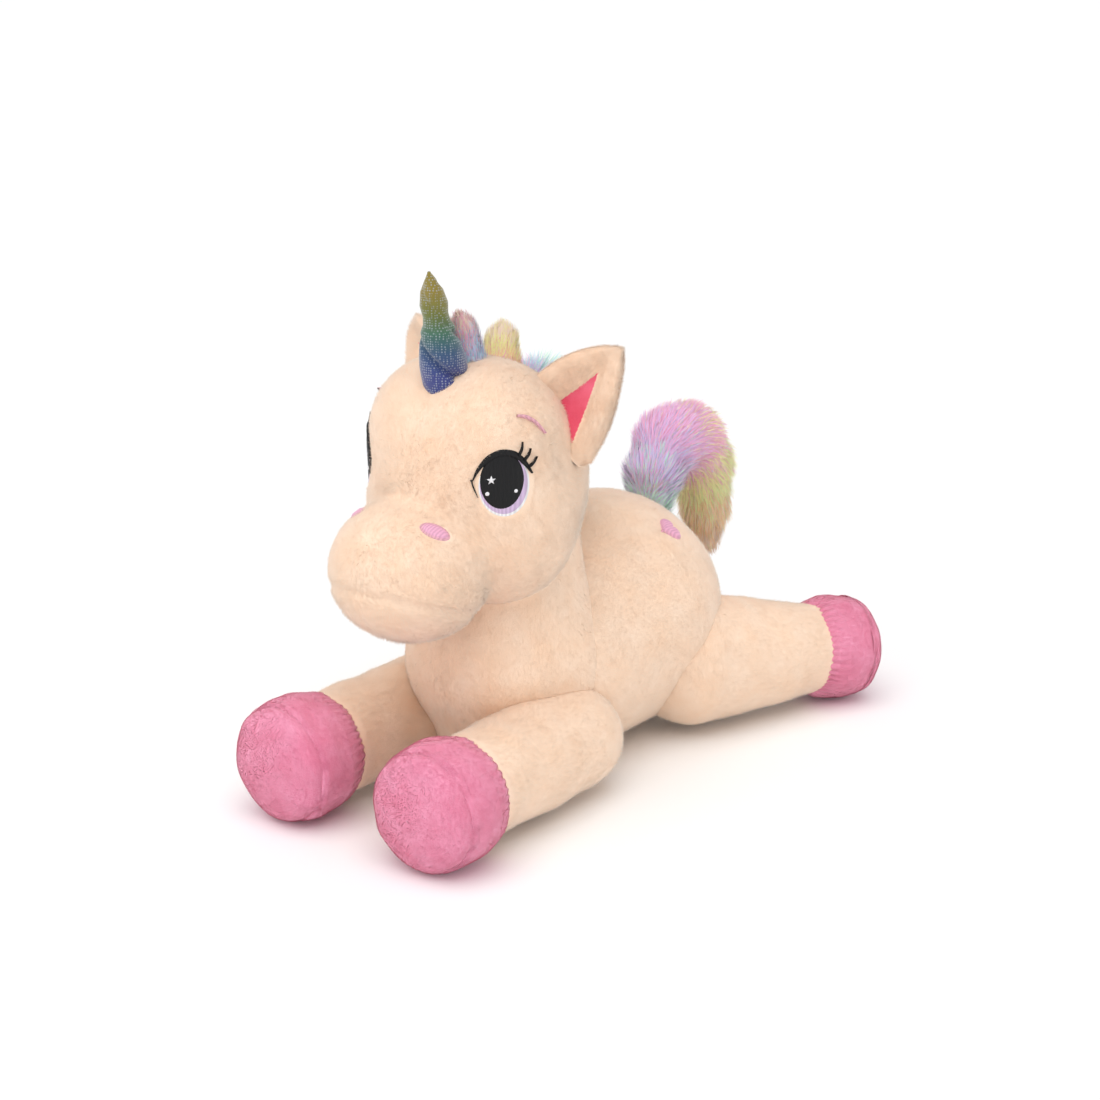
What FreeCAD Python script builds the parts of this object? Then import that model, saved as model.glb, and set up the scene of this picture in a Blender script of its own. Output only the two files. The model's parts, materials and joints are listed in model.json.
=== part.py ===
import FreeCAD, Part
import math
import os

from FreeCAD import Vector

# Plush unicorn lying on its belly, in millimetres.
# It faces -Y, its left side is +X, +Z is up, and the origin is the middle of its belly on the floor.
# left and right are the animal's own.

# Cloth and clearances
CLOTH = 3.0  # fabric backing with its pile pressed flat
STUFFING_GAP = 0.4  # between the stuffing and the cloth around it
JOINT_GAP = 0.3  # between a stuffed root and the socket it turns in
SWEEP_GAP = 1.0  # room kept beside a limb where it leaves its socket
LOCK_STEP = 0.2  # each lock of the tail ends this much thinner than the next one starts
STITCH_HEIGHT = 1.2  # how far embroidery stands above the cloth

# Trunk: a hull round a chest ball and a rump ball
CHEST_RADIUS = 88.0
CHEST_Y = -40.0
RUMP_RADIUS = 98.0
RUMP_Y = 32.0
BELLY_PRESS = 2.0  # how much the floor flattens the belly
BELLY_PANEL_HEIGHT = 30.0

# Neck: turned about an upright axis
NECK_Y = -92.0
NECK_LOW_RADIUS = 58.0
NECK_LOW_Z = 128.0
NECK_TOP_RADIUS = 46.0
NECK_TOP_Z = 212.0
NECK_TURN = 30.0

# Head
HEAD_RADIUS = 84.0
HEAD_CENTRE = Vector(0.0, -118.0, 236.0)
MUZZLE_RADIUS = 55.0
MUZZLE_CENTRE = Vector(0.0, -203.0, 192.0)
MUZZLE_SEAM_DEPTH = 40.0  # how far behind the muzzle's front its seam runs
HEAD_GUSSET_WIDTH = 64.0
HEAD_PLACES_RADIUS = 84.0  # the head radius that the places on the head below are given for
NOD = 14.0


def on_head(x, y, z):
    """A place on the head, which moves in or out from its centre with the head's radius."""
    outward = Vector(x, y, z) - HEAD_CENTRE
    return HEAD_CENTRE + outward * (1 + (HEAD_RADIUS - HEAD_PLACES_RADIUS) / outward.Length)


# Horn
HORN_ROOT_RADIUS = 19.5
HORN_ROOT = on_head(0.0, -155.0, 306.0)
HORN_TIP_RADIUS = 8.0
HORN_LENGTH = 96.0
HORN_LEAN = 11.5  # degrees forward of upright
HORN_TILT = 10.0

# Ears
EAR_INNER_CORNER = on_head(36.0, -106.0, 318.0)
EAR_OUTER_CORNER = on_head(84.0, -98.0, 262.0)
EAR_TIP = on_head(92.0, -79.0, 341.0)
EAR_THICKNESS = 11.0
EAR_ROOT_RADIUS = 12.0
EAR_CORNER_RADIUS = 11.0
EAR_LINING_BORDER = 13.0
EAR_LINING_THICKNESS = 2.5
EAR_FOLD = 20.0

# Mane: each lock is a ball at the scalp and a ball at its end
FORELOCKS = [
    (on_head(0.0, -126.0, 318.0), 15.0, on_head(0.0, -137.0, 357.0), 12.0),
    (on_head(0.0, -100.0, 318.0), 19.0, on_head(0.0, -96.0, 338.0), 15.0),
]
CREST_LOCKS = [
    (on_head(0.0, -66.0, 304.0), 20.0, on_head(0.0, -54.0, 316.0), 16.0),
    (on_head(0.0, -42.0, 282.0), 21.0, on_head(0.0, -26.0, 288.0), 16.0),
    (on_head(0.0, -33.0, 254.0), 20.0, on_head(0.0, -17.0, 248.0), 14.0),
]

# Face embroidery: direction from the ball it lies on, and radius of the patch
EYE_DIRECTION = Vector(0.683, -0.672, 0.286)
EYE_RADIUS = 20.0
BROW_DIRECTION = Vector(0.58, -0.49, 0.65)
BROW_RADIUS = 11.0
NOSTRIL_DIRECTION = Vector(0.60, -0.33, 0.72)
NOSTRIL_RADIUS = 10.0
FLANK_MARK_DIRECTION = Vector(0.60, 0.10, 0.79)
FLANK_MARK_RADIUS = 13.0

# Front legs (left one; the right one mirrors it)
SHOULDER = Vector(64.0, -98.0, 44.0)
SHOULDER_RADIUS = 40.0
FRONT_SEAM_RADIUS = 38.0
FRONT_SEAM_AT = 122.0  # along the leg from the shoulder
FRONT_HOOF_RADIUS = 46.0
FRONT_HOOF_LENGTH = 62.0
FRONT_LEG_AIM = Vector(4.0, -150.0, 2.0)
FRONT_AXIS = Vector(-0.5, 0.0, 0.866)  # lifts the leg and spreads it
FRONT_LIFT = 30.0

# Hind legs (left one; the right one mirrors it)
HIP = Vector(64.0, 66.0, 58.0)
HIP_RADIUS = 54.0
HIND_SEAM_RADIUS = 37.0
HIND_SEAM_AT = 112.0
HIND_HOOF_RADIUS = 43.0
HIND_HOOF_LENGTH = 58.0
HIND_LEG_AIM = Vector(58.0, 126.0, -14.5)
HIND_LIFT = 30.0

HOOF_WIDEST = 0.55  # share of the hoof's length from its seam to its widest ring
SOLE_SHARE = 0.80  # share of the hoof's length where the sole's seam runs
SOLE_EDGE = 0.72  # the sole's flat face, as a share of the hoof's radius

# Tail
TAIL_ROOT = Vector(0.0, 96.0, 162.0)
TAIL_ROOT_RADIUS = 15.0
TAIL_LOCKS = [
    (Vector(0.0, 104.0, 196.0), 22.0),
    (Vector(0.0, 128.0, 222.0), 26.0),
    (Vector(0.0, 162.0, 212.0), 27.0),
    (Vector(0.0, 180.0, 172.0), 25.0),
    (Vector(0.0, 184.0, 128.0), 17.0),
]
TAIL_LIFT = 18.0
TAIL_DROP = 14.0

SIDES = {"left": 1.0, "right": -1.0}
X_AXIS = Vector(1.0, 0.0, 0.0)
Z_AXIS = Vector(0.0, 0.0, 1.0)
BIG = 900.0
SEAM_TURN = 35.0  # keeps the start of each turned surface off the plane of symmetry


def mirrored(vector, side):
    """A point or direction of the left side, on the side asked for."""
    return Vector(vector.x * side, vector.y, vector.z)


def mirrored_shape(shape, side):
    if side > 0:
        return shape
    return shape.mirror(Vector(0, 0, 0), X_AXIS)


def unit(vector):
    result = Vector(vector)
    result.normalize()
    return result


def ball(centre, radius):
    return Part.makeSphere(radius, centre)


def turned(outline_edges, base, axis):
    """A solid turned from an outline drawn in the XY plane along +X, laid along axis from base."""
    face = Part.Face(Part.Wire(outline_edges))
    face.rotate(Vector(0, 0, 0), X_AXIS, SEAM_TURN)
    solid = face.revolve(Vector(0, 0, 0), X_AXIS, 360)
    solid = solid if solid.ShapeType == "Solid" else Part.Solid(solid.Shells[0])
    turn = FreeCAD.Rotation(X_AXIS, axis)
    solid.Placement = FreeCAD.Placement(base, turn)
    return solid


def pod(start, start_radius, end, end_radius):
    """The smallest smooth hull round two balls."""
    length = (end - start).Length
    lean = (start_radius - end_radius) / length
    rise = math.sqrt(1.0 - lean * lean)
    first = Vector(-start_radius, 0, 0)
    first_tangent = Vector(start_radius * lean, start_radius * rise, 0)
    last_tangent = Vector(length + end_radius * lean, end_radius * rise, 0)
    last = Vector(length + end_radius, 0, 0)
    half_first = math.pi - (math.pi - math.acos(lean)) / 2.0
    first_middle = Vector(start_radius * math.cos(half_first), start_radius * math.sin(half_first), 0)
    half_last = math.acos(lean) / 2.0
    last_middle = Vector(
        length + end_radius * math.cos(half_last), end_radius * math.sin(half_last), 0
    )
    edges = [
        Part.Arc(first, first_middle, first_tangent).toShape(),
        Part.LineSegment(first_tangent, last_tangent).toShape(),
        Part.Arc(last_tangent, last_middle, last).toShape(),
        Part.LineSegment(last, first).toShape(),
    ]
    return turned(edges, start, end - start)


def half_space(point, normal):
    """A block that fills everything on the side of a plane that its normal points to."""
    block = Part.makeBox(2 * BIG, 2 * BIG, BIG, Vector(-BIG, -BIG, 0))
    block.Placement = FreeCAD.Placement(point, FreeCAD.Rotation(Z_AXIS, normal))
    return block


def flared_room(root, radius, aim, reach, limb_radius, axis, low, high):
    """A socket round a root ball that opens out to let the limb turn from low to high."""
    half_travel = math.radians(high - low) / 2.0
    middle_turn = FreeCAD.Rotation(axis, (low + high) / 2.0)
    mouth = root + middle_turn.multVec(unit(aim)) * reach
    mouth_radius = limb_radius + SWEEP_GAP + reach * math.sin(half_travel)
    return pod(root, radius + JOINT_GAP, mouth, max(mouth_radius, radius + JOINT_GAP + 1.0))


def cut_all(shape, tools):
    for tool in tools:
        shape = shape.cut(tool)
    return shape


def export(name, shape):
    solids = [solid for solid in shape.Solids if solid.Volume > 1.0]
    group = solids[0] if len(solids) == 1 else Part.makeCompound(solids)
    group.exportStep(os.path.join("parts", name + ".step"))


# ---------------------------------------------------------------- outlines of the stuffed parts


def trunk_shape(inset=0.0):
    chest = Vector(0, CHEST_Y, CHEST_RADIUS - BELLY_PRESS)
    rump = Vector(0, RUMP_Y, RUMP_RADIUS - BELLY_PRESS)
    hull = pod(chest, CHEST_RADIUS - inset, rump, RUMP_RADIUS - inset)
    return hull.common(half_space(Vector(0, 0, inset), Z_AXIS))


def neck_shape(inset=0.0):
    low = Vector(0, NECK_Y, NECK_LOW_Z)
    top = Vector(0, NECK_Y, NECK_TOP_Z)
    return pod(low, NECK_LOW_RADIUS - inset, top, NECK_TOP_RADIUS - inset)


def head_shape(inset=0.0):
    return pod(HEAD_CENTRE, HEAD_RADIUS - inset, MUZZLE_CENTRE, MUZZLE_RADIUS - inset)


def horn_direction():
    lean = math.radians(HORN_LEAN)
    return Vector(0, -math.sin(lean), math.cos(lean))


def horn_shape(inset=0.0):
    tip = HORN_ROOT + horn_direction() * (HORN_LENGTH - HORN_TIP_RADIUS)
    return pod(HORN_ROOT, HORN_ROOT_RADIUS - inset, tip, max(HORN_TIP_RADIUS - inset, 1.0))


def leg_shape(root, root_radius, aim, seam_at, seam_radius, hoof_radius, hoof_length, inset=0.0):
    """A leg and its hoof, turned about the line from the root ball through the hoof."""
    ball_radius = root_radius - inset
    end = seam_at + hoof_length - inset
    widest = seam_at + hoof_length * HOOF_WIDEST
    sole_edge = hoof_radius * SOLE_EDGE - inset
    corners = [
        Vector(0, ball_radius, 0),
        Vector(seam_at, seam_radius - inset, 0),
        Vector(widest, hoof_radius - inset, 0),
        Vector(end, sole_edge, 0),
        Vector(end, 0, 0),
        Vector(-ball_radius, 0, 0),
    ]
    quarter = ball_radius * math.sqrt(0.5)
    edges = [Part.Arc(corners[-1], Vector(-quarter, quarter, 0), corners[0]).toShape()]
    for start, finish in zip(corners, corners[1:]):
        edges.append(Part.LineSegment(start, finish).toShape())
    return turned(edges, root, aim)


def front_leg_shape(inset=0.0):
    return leg_shape(
        SHOULDER, SHOULDER_RADIUS, FRONT_LEG_AIM, FRONT_SEAM_AT, FRONT_SEAM_RADIUS,
        FRONT_HOOF_RADIUS, FRONT_HOOF_LENGTH, inset,
    )


def hind_leg_shape(inset=0.0):
    return leg_shape(
        HIP, HIP_RADIUS, HIND_LEG_AIM, HIND_SEAM_AT, HIND_SEAM_RADIUS,
        HIND_HOOF_RADIUS, HIND_HOOF_LENGTH, inset,
    )


def hind_axis():
    """Level, and square to the hind leg, so that the leg lifts straight up."""
    return unit(Vector(HIND_LEG_AIM.y, -HIND_LEG_AIM.x, 0))


def tail_shape(inset=0.0):
    places = [(TAIL_ROOT, TAIL_ROOT_RADIUS)] + TAIL_LOCKS
    shape = None
    for (start, start_radius), (end, end_radius) in zip(places, places[1:]):
        lock = pod(start, start_radius - inset, end, end_radius - inset - LOCK_STEP)
        shape = lock if shape is None else shape.fuse(lock)
    return shape


# ---------------------------------------------------------------- sockets


def leg_sockets():
    """Room in the trunk for the four leg roots, over each leg's whole travel."""
    tools = []
    for root, radius, aim, seam_at, seam_radius, axis, travel in (
        (SHOULDER, SHOULDER_RADIUS, FRONT_LEG_AIM, FRONT_SEAM_AT, FRONT_SEAM_RADIUS,
         FRONT_AXIS, FRONT_LIFT),
        (HIP, HIP_RADIUS, HIND_LEG_AIM, HIND_SEAM_AT, HIND_SEAM_RADIUS,
         hind_axis(), HIND_LIFT),
    ):
        room = flared_room(root, radius, aim, seam_at, seam_radius, axis, 0.0, travel)
        tools += [mirrored_shape(room, side) for side in SIDES.values()]
    return tools


def tail_socket():
    first, first_radius = TAIL_LOCKS[0]
    aim = first - TAIL_ROOT
    return flared_room(
        TAIL_ROOT, TAIL_ROOT_RADIUS, aim, aim.Length, first_radius, X_AXIS, -TAIL_DROP, TAIL_LIFT
    )


def neck_nod_socket():
    """Room in the head for the neck, over the head's whole nod."""
    top = Vector(0, NECK_Y, NECK_TOP_Z)
    reach = NECK_TOP_Z - NECK_LOW_Z
    return flared_room(
        top, NECK_TOP_RADIUS, Z_AXIS * -1.0, reach, NECK_LOW_RADIUS, X_AXIS, -NOD, NOD
    )


def horn_socket():
    return flared_room(
        HORN_ROOT, HORN_ROOT_RADIUS, horn_direction(), HORN_LENGTH * 0.5, HORN_ROOT_RADIUS,
        X_AXIS, -HORN_TILT, HORN_TILT,
    )


# ---------------------------------------------------------------- ears


def ear_front():
    """The way that the left ear's lining faces."""
    along = unit(EAR_OUTER_CORNER - EAR_INNER_CORNER)
    to_tip = EAR_TIP - EAR_INNER_CORNER
    up = unit(to_tip - along * to_tip.dot(along))
    return unit(along.cross(up))


def ear_plate(border, low, high):
    """A rounded triangle of the ear's outline less a border, between two depths."""
    front = ear_front()
    corners = [EAR_INNER_CORNER, EAR_OUTER_CORNER, EAR_TIP]
    middle = (corners[0] + corners[1] + corners[2]) * (1.0 / 3.0)
    shrunk = []
    for corner in corners:
        inward = middle - corner
        shrunk.append(corner + unit(inward) * border * 1.5 + front * low)
    outline = Part.makePolygon(shrunk + shrunk[:1])
    plate = Part.Face(outline).extrude(front * (high - low))
    upright = [
        edge
        for edge in plate.Edges
        if abs((edge.Vertexes[0].Point - edge.Vertexes[1].Point).dot(front)) > 0.9 * (high - low)
    ]
    radius = max(EAR_CORNER_RADIUS - border * 0.5, 3.0)
    return plate.makeFillet(radius, upright)


def ear_root(extra=0.0):
    """The gathered base of the ear: a roll along the line that the ear folds about."""
    return pod(EAR_INNER_CORNER, EAR_ROOT_RADIUS + extra, EAR_OUTER_CORNER, EAR_ROOT_RADIUS + extra)


def ear_body():
    half = EAR_THICKNESS / 2.0
    return ear_plate(0.0, -half, half).fuse(ear_root())


def ear_lining():
    half = EAR_THICKNESS / 2.0
    return ear_plate(EAR_LINING_BORDER, half, half + EAR_LINING_THICKNESS).cut(ear_root())


def ear_sockets():
    return [mirrored_shape(ear_root(JOINT_GAP), side) for side in SIDES.values()]


# ---------------------------------------------------------------- pieces


def patch(outer, sink, centre, direction, radius):
    """A flat stitched patch: a thin skin on a stuffed part, inside a round outline."""
    reach = Part.makeCylinder(radius, BIG, centre, direction)
    return outer.cut(sink).common(reach)


def build_trunk():
    sockets = leg_sockets() + [tail_socket(), neck_shape(-JOINT_GAP)]
    cloth = cut_all(trunk_shape().cut(trunk_shape(CLOTH)), sockets)
    above = half_space(Vector(0, 0, BELLY_PANEL_HEIGHT), Z_AXIS)
    export("belly_panel", cloth.cut(above))
    upper = cloth.common(above)
    for name, side in SIDES.items():
        half = half_space(Vector(0, 0, 0), X_AXIS * side)
        export("trunk_panel_" + name, upper.common(half))
    export("trunk_stuffing", cut_all(trunk_shape(CLOTH + STUFFING_GAP), sockets))
    rump = Vector(0, RUMP_Y, RUMP_RADIUS - BELLY_PRESS)
    for name, side in SIDES.items():
        mark = patch(
            trunk_shape(-STITCH_HEIGHT), trunk_shape(), rump,
            mirrored(FLANK_MARK_DIRECTION, side), FLANK_MARK_RADIUS,
        )
        export("flank_mark_" + name, mark)


def build_neck():
    export("neck_cover", neck_shape().cut(neck_shape(CLOTH)))
    export("neck_stuffing", neck_shape(CLOTH + STUFFING_GAP))


def muzzle_side():
    """Everything in front of the muzzle's seam."""
    forward = unit(MUZZLE_CENTRE - HEAD_CENTRE)
    seam = MUZZLE_CENTRE + forward * (MUZZLE_RADIUS - MUZZLE_SEAM_DEPTH)
    return half_space(seam, forward)


def both_sides(left_half):
    """A left half and its mirror image, joined at the middle plane."""
    return left_half.fuse(mirrored_shape(left_half, -1.0)).removeSplitter()


def head_half(inset):
    """The left half of the head, with room in it for the neck, the horn and the ear."""
    half = head_shape(inset).common(half_space(Vector(0, 0, 0), X_AXIS))
    return cut_all(half, [neck_nod_socket(), horn_socket(), ear_root(JOINT_GAP)])


def build_head():
    cloth = head_half(0.0).cut(head_shape(CLOTH))
    front = muzzle_side()
    export("muzzle_panel", both_sides(cloth.common(front)))
    cloth = cloth.cut(front)
    strip = Part.makeBox(
        HEAD_GUSSET_WIDTH, 2 * BIG, BIG, Vector(-HEAD_GUSSET_WIDTH / 2, -BIG, HEAD_CENTRE.z)
    )
    export("head_gusset", both_sides(cloth.common(strip)))
    for name, side in SIDES.items():
        export("head_panel_" + name, mirrored_shape(cloth.cut(strip), side))
    export("head_stuffing", both_sides(head_half(CLOTH + STUFFING_GAP)))


def build_face():
    for name, side in SIDES.items():
        for piece, centre, direction, radius in (
            ("eye_embroidery_", HEAD_CENTRE, EYE_DIRECTION, EYE_RADIUS),
            ("brow_embroidery_", HEAD_CENTRE, BROW_DIRECTION, BROW_RADIUS),
            ("nostril_embroidery_", MUZZLE_CENTRE, NOSTRIL_DIRECTION, NOSTRIL_RADIUS),
        ):
            stitched = patch(
                head_shape(-STITCH_HEIGHT), head_shape(), centre, mirrored(direction, side), radius
            )
            export(piece + name, stitched)


def build_mane():
    taken = [head_shape(), horn_socket()] + ear_sockets()
    for name, locks in (("forelock", FORELOCKS), ("mane_crest", CREST_LOCKS)):
        shape = pod(*locks[0])
        for lock in locks[1:]:
            shape = shape.fuse(pod(*lock))
        shape = cut_all(shape, taken)
        export(name, shape)
        taken.append(shape)


def build_horn():
    export("horn_cover", horn_shape().cut(horn_shape(CLOTH)))
    export("horn_stuffing", horn_shape(CLOTH + STUFFING_GAP))


def build_ears():
    for name, side in SIDES.items():
        export("ear_" + name, mirrored_shape(ear_body(), side))
        export("ear_lining_" + name, mirrored_shape(ear_lining(), side))


def build_legs():
    for prefix, leg, root, aim, seam_at, hoof_length in (
        ("front_", front_leg_shape, SHOULDER, FRONT_LEG_AIM, FRONT_SEAM_AT, FRONT_HOOF_LENGTH),
        ("hind_", hind_leg_shape, HIP, HIND_LEG_AIM, HIND_SEAM_AT, HIND_HOOF_LENGTH),
    ):
        forward = unit(aim)
        cloth = leg().cut(leg(CLOTH))
        past_seam = half_space(root + forward * seam_at, forward)
        past_band = half_space(root + forward * (seam_at + hoof_length * SOLE_SHARE), forward)
        pieces = {
            "leg_cover_": cloth.cut(past_seam),
            "hoof_band_": cloth.common(past_seam).cut(past_band),
            "hoof_sole_": cloth.common(past_band),
            "leg_stuffing_": leg(CLOTH + STUFFING_GAP),
        }
        for piece, shape in pieces.items():
            for name, side in SIDES.items():
                export(prefix + piece + name, mirrored_shape(shape, side))


def build_tail():
    export("tail_cover", tail_shape().cut(tail_shape(CLOTH)))
    export("tail_stuffing", tail_shape(CLOTH + STUFFING_GAP))


os.makedirs("parts", exist_ok=True)
build_trunk()
build_neck()
build_head()
build_face()
build_mane()
build_horn()
build_ears()
build_legs()
build_tail()
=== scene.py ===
import json
import math

import bpy
import numpy as np
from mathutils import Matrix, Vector


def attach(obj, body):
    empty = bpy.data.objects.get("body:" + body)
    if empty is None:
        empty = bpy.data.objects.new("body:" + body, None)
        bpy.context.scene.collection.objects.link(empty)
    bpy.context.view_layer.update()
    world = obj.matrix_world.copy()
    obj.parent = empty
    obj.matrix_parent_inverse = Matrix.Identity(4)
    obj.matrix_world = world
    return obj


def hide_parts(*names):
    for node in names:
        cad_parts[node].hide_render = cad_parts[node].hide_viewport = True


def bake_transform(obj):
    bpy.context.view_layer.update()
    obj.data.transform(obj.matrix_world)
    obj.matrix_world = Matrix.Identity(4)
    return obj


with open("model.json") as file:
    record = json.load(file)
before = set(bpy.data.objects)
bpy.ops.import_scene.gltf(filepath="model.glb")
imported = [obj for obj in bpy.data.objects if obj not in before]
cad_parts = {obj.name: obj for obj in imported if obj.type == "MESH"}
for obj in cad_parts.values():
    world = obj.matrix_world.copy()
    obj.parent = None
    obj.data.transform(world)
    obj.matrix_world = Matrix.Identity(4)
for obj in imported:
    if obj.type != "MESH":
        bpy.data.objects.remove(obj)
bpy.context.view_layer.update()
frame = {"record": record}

# Plush unicorn lying on its belly. Sizes below are in millimetres, and meshes are built in metres.
# The toy faces -Y and its own left side is +X.

MM = 0.001
JOINTS = {joint["name"]: joint for joint in frame["record"]["behaviour"]["joints"]}
SIDES = {"left": 1.0, "right": -1.0}


def joint_point(name):
    return np.array(JOINTS[name]["pos_m"], float) / MM


NECK_LOW = joint_point("neck_turn")
NECK_TOP = joint_point("head_nod")
HORN_ROOT = joint_point("horn_tilt")
TAIL_ROOT = joint_point("tail_swing")
SHOULDER = joint_point("front_leg_lift_left")
HIP = joint_point("hind_leg_lift_left")
EAR_INNER = joint_point("ear_fold_left")

SKULL = np.array([0.0, -121.0, 243.0])
SKULL_SIZE = np.array([77.0, 82.0, 88.0])
MUZZLE = np.array([0.0, -201.0, 192.5])
MUZZLE_SIZE = np.array([58.5, 57.0, 52.0])
BRIDGE = (np.array([0.0, -146.0, 228.0]), 57.0, np.array([0.0, -176.0, 206.0]), 42.0)
CHEEK = (np.array([31.0, -136.0, 208.0]), 47.0)  # centre and radius
TEMPLE = (np.array([27.0, -139.0, 284.0]), 45.0)
LIP_BELOW = 21.0  # from the muzzle's middle down to the mouth's seam
BELLY = np.array([0.0, -40.0, 86.0])
BELLY_RADIUS = 87.0
RUMP = np.array([0.0, 32.0, 96.0])
RUMP_RADIUS = 97.0
FRONT_HOOF_SEAM = 122.0
HIND_HOOF_SEAM = 112.0
FRONT_AIM = np.array([4.0, -150.0, 2.0])
HIND_AIM = np.array([58.0, 126.0, -14.5])

FLOOR_GAP = 0.3
PILE_LENGTH = 3.8
PILE_WIDTH = 0.34
STANDING = 0.12  # share of the fibres that stand up from the nap
FLAT_LEAN = 2.1  # how far the other fibres lie over, as a multiple of the nap


# -------- vectors and noise


def unit(vectors):
    vectors = np.asarray(vectors, float)
    return vectors / np.maximum(np.linalg.norm(vectors, axis=-1, keepdims=True), 1e-9)


def waves(points, size, seed):
    """Smooth noise between about -1 and 1 that changes over the given distance."""
    rng = np.random.default_rng(seed)
    directions = unit(rng.normal(size=(7, 3))) * (2 * math.pi / size)
    directions *= rng.uniform(0.6, 1.5, size=(7, 1))
    phases = rng.uniform(0, 2 * math.pi, 7)
    return np.sin(points @ directions.T + phases).mean(axis=1) * 2.2


def wave_vectors(points, size, seed):
    return np.stack([waves(points, size, seed + step) for step in range(3)], axis=1)


# -------- distance fields, in mm


def left_half(points):
    """The points with those on the right side mirrored onto the left side."""
    return np.column_stack([np.abs(points[:, 0]), points[:, 1:]])


def ball(points, centre, radius):
    return np.linalg.norm(points - centre, axis=1) - radius


def egg(points, centre, size):
    """About the distance to an egg with three half widths. It is exact on the surface."""
    scaled = np.linalg.norm((points - centre) / size, axis=1)
    steeper = np.linalg.norm((points - centre) / size**2, axis=1)
    return scaled * (scaled - 1.0) / np.maximum(steeper, 1e-9)


def limb(points, start, start_radius, end, end_radius):
    """A round rod between two points that tapers from one radius to the other."""
    line = end - start
    along = np.clip((points - start) @ line / (line @ line), 0.0, 1.0)
    nearest = start + along[:, None] * line
    radius = start_radius + (end_radius - start_radius) * along
    return np.linalg.norm(points - nearest, axis=1) - radius


def blended(first, second, width):
    """The union of two fields, with the corner between them filled smoothly."""
    share = np.clip(0.5 + 0.5 * (second - first) / width, 0.0, 1.0)
    return second * (1 - share) + first * share - width * share * (1 - share)


def crease(distance, width, depth):
    """How far a sewn seam pulls the cloth in, by the distance from the seam."""
    return depth * np.exp(-((distance / width) ** 2))


def head_field(points):
    skull = egg(points, SKULL, SKULL_SIZE)
    muzzle = egg(points, MUZZLE, MUZZLE_SIZE)
    field = blended(skull, ball(left_half(points), *CHEEK), 24.0)
    field = blended(field, ball(left_half(points), *TEMPLE), 24.0)
    field = blended(field, limb(points, *BRIDGE), 18.0)
    field = blended(field, muzzle, 7.0)
    forward = unit(MUZZLE - SKULL)
    lip = (points - MUZZLE) @ unit(np.array([0.0, -0.35, -1.0])) - LIP_BELOW
    in_front = 1.0 / (1.0 + np.exp(-((points - MUZZLE) @ forward + 4.0) / 8.0))
    field = field + crease(lip, 3.0, 1.6) * in_front
    field = field + crease(points[:, 0], 2.2, 0.5)
    return field - 0.5 * waves(points, 90.0, 11)


def chest_field(points):
    low = np.array([NECK_LOW[0], NECK_LOW[1], 62.0])
    middle = np.array([NECK_LOW[0], NECK_LOW[1] - 6.0, 100.0])
    column = limb(points, low, 64.0, middle, 72.0)
    column = blended(column, limb(points, middle, 68.0, NECK_TOP, 56.0), 14.0)
    # under the back it dives into the trunk
    depth = 2.5 + np.clip(points[:, 1] - NECK_LOW[1], 0.0, None) * 0.35
    column = blended(column, trunk_field(points) + depth, 26.0)
    field = column + crease(points[:, 0], 3.0, 2.4) * (points[:, 1] < NECK_LOW[1])
    return field - 0.9 * waves(points, 60.0, 21)


def trunk_field(points):
    field = limb(points, BELLY, BELLY_RADIUS, RUMP, RUMP_RADIUS)
    back_seam = crease(points[:, 0], 2.5, 1.6) * (points[:, 2] > 90.0)
    field = field + back_seam - waves(points, 70.0, 31)
    return np.maximum(field, -points[:, 2])


def leg_field(points, root, root_radius, aim, seam_at, seam_radius, seed):
    end = root + unit(aim) * seam_at
    field = limb(points, root, root_radius, end, seam_radius)
    return field - 0.9 * waves(points, 46.0, seed)


def front_leg_field(points):
    return leg_field(points, SHOULDER, 41.0, FRONT_AIM, FRONT_HOOF_SEAM + 4.0, 38.5, 41)


def hind_leg_field(points):
    return leg_field(points, HIP, 54.0, HIND_AIM, HIND_HOOF_SEAM + 4.0, 37.5, 51)


# -------- mesh building


def ring_faces(rows, columns):
    """Four-sided faces between closed rings of points."""
    faces = []
    for low in range(0, (rows - 1) * columns, columns):
        high = low + columns
        for column in range(columns):
            after = (column + 1) % columns
            faces.append((low + column, low + after, high + after, high + column))
    return faces


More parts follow.
